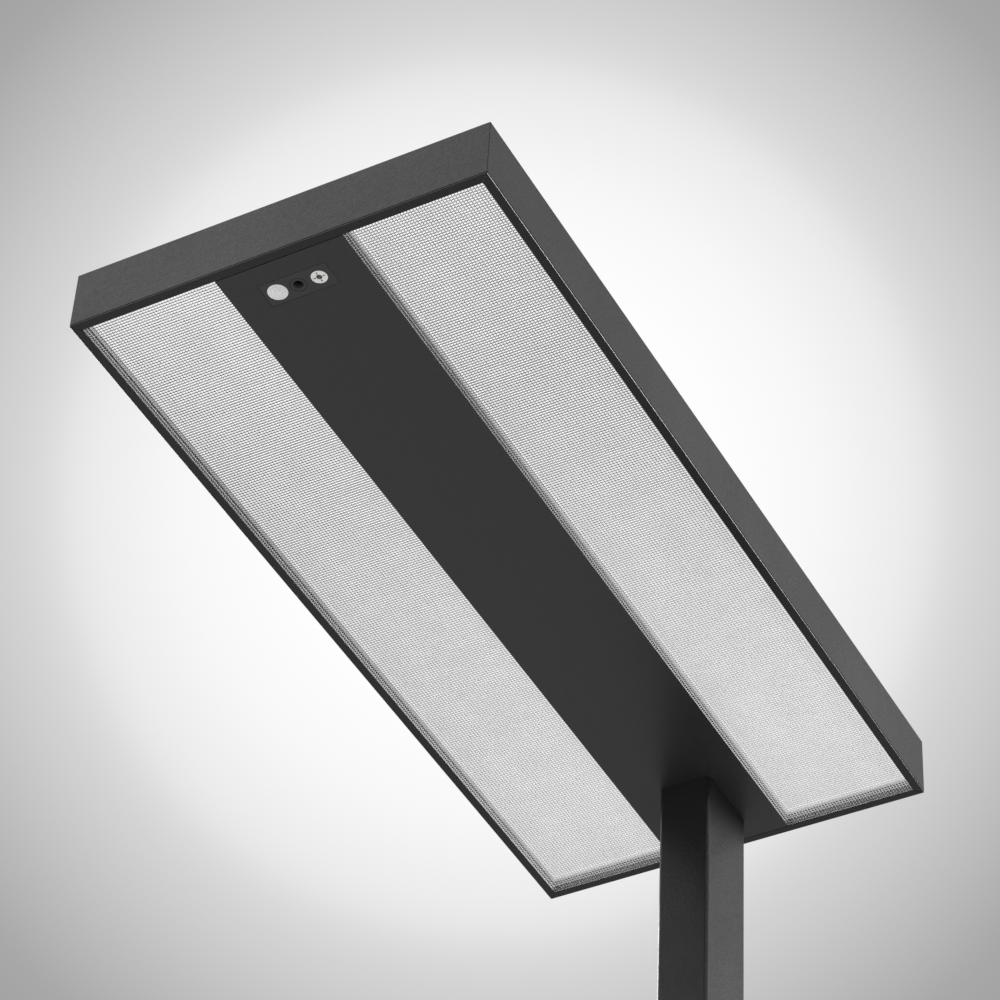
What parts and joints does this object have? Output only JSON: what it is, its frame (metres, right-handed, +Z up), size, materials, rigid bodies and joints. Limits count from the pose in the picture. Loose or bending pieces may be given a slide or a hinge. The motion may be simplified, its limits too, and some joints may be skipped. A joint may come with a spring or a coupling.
{
  "type": "floor lamp",
  "caption": "Office floor lamp: flat rectangular light head with prism panels and a sensor strip below, on a slim square-cornered pole and a flat base plate.",
  "frame": {"origin": "on the floor, under the middle of the head", "axes": "+Z up; the head's sensor end points to -Y and the pole stands near its +Y end; +X is across the head"},
  "size_m": [0.3, 0.658, 1.95],
  "materials": {
    "powder_coated_aluminium": "anthracite powder coat, satin with a fine grain",
    "powder_coated_steel": "anthracite powder coat, satin with a fine grain",
    "prism_sheet": "clear acrylic with small pyramids on its lower face",
    "opal_sheet": "satin opal acrylic",
    "white_steel": "white painted sheet",
    "circuit_board": "white solder mask",
    "zinc_plated_steel": "zinc plated",
    "plain_aluminium": "mill finish",
    "driver_case": "light grey moulding",
    "black_plastic": "fine-textured moulding",
    "lens_plastic": "milky polyethylene",
    "dial_plastic": "light moulding",
    "button_metal": "satin turned cap",
    "rubber": "black rubber"
  },
  "bodies": {
    "lamp": {"frame_side_left": "powder_coated_aluminium", "frame_side_right": "powder_coated_aluminium", "frame_end_front": "powder_coated_aluminium", "frame_end_rear": "powder_coated_aluminium", "corner_brackets": "zinc_plated_steel", "corner_screws": "zinc_plated_steel", "top_cover": "powder_coated_steel", "top_cover_screws": "zinc_plated_steel", "uplight_cover_left": "opal_sheet", "uplight_cover_right": "opal_sheet", "carrier_deck": "white_steel", "led_boards_down": "circuit_board", "led_boards_up": "circuit_board", "diffuser_left": "opal_sheet", "diffuser_right": "opal_sheet", "prism_panel_left": "prism_sheet", "prism_panel_right": "prism_sheet", "centre_strip": "powder_coated_aluminium", "strip_nuts": "zinc_plated_steel", "channel_rail_left": "powder_coated_aluminium", "channel_rail_right": "powder_coated_aluminium", "rail_screws": "zinc_plated_steel", "led_driver": "driver_case", "driver_screws": "zinc_plated_steel", "mount_plate": "zinc_plated_steel", "mount_screws": "zinc_plated_steel", "plate_screws": "zinc_plated_steel", "head_spigot": "plain_aluminium", "spigot_screws": "zinc_plated_steel", "head_terminal": "driver_case", "supply_lead": "rubber", "sensor_bezel": "black_plastic", "pir_lens": "lens_plastic", "pir_detector": "zinc_plated_steel", "photocell_tube": "black_plastic", "photocell": "zinc_plated_steel", "trimmer_body": "driver_case", "sensor_board": "circuit_board", "sensor_cover": "black_plastic", "sensor_screws": "zinc_plated_steel", "pole_tube": "powder_coated_aluminium", "button_bezel": "black_plastic", "switch_nut": "zinc_plated_steel", "switch_body": "black_plastic", "gland_body": "black_plastic", "gland_dome_nut": "black_plastic", "gland_seal": "rubber", "gland_locknut": "black_plastic", "foot_connector": "driver_case", "foot_spigot": "plain_aluminium", "foot_bolts": "zinc_plated_steel", "foot_grub_screws": "zinc_plated_steel", "base_plate": "powder_coated_steel", "base_pads": "rubber"},
    "button": {"push_button": "button_metal"},
    "adjuster": {"adjust_dial": "dial_plastic"}
  },
  "joints": [
    {"name": "button_press", "type": "slide", "parent": "lamp", "child": "button", "axis": [0, 1, 0], "range_m": [0, 0.0015], "stiffness_N_per_m": 1000, "springref_m": -0.001},
    {"name": "adjuster_turn", "type": "hinge", "parent": "lamp", "child": "adjuster", "pos_m": [0.015, -0.298, 1.903], "axis": [0, 0, 1], "range_deg": [-135, 135]}
  ]
}
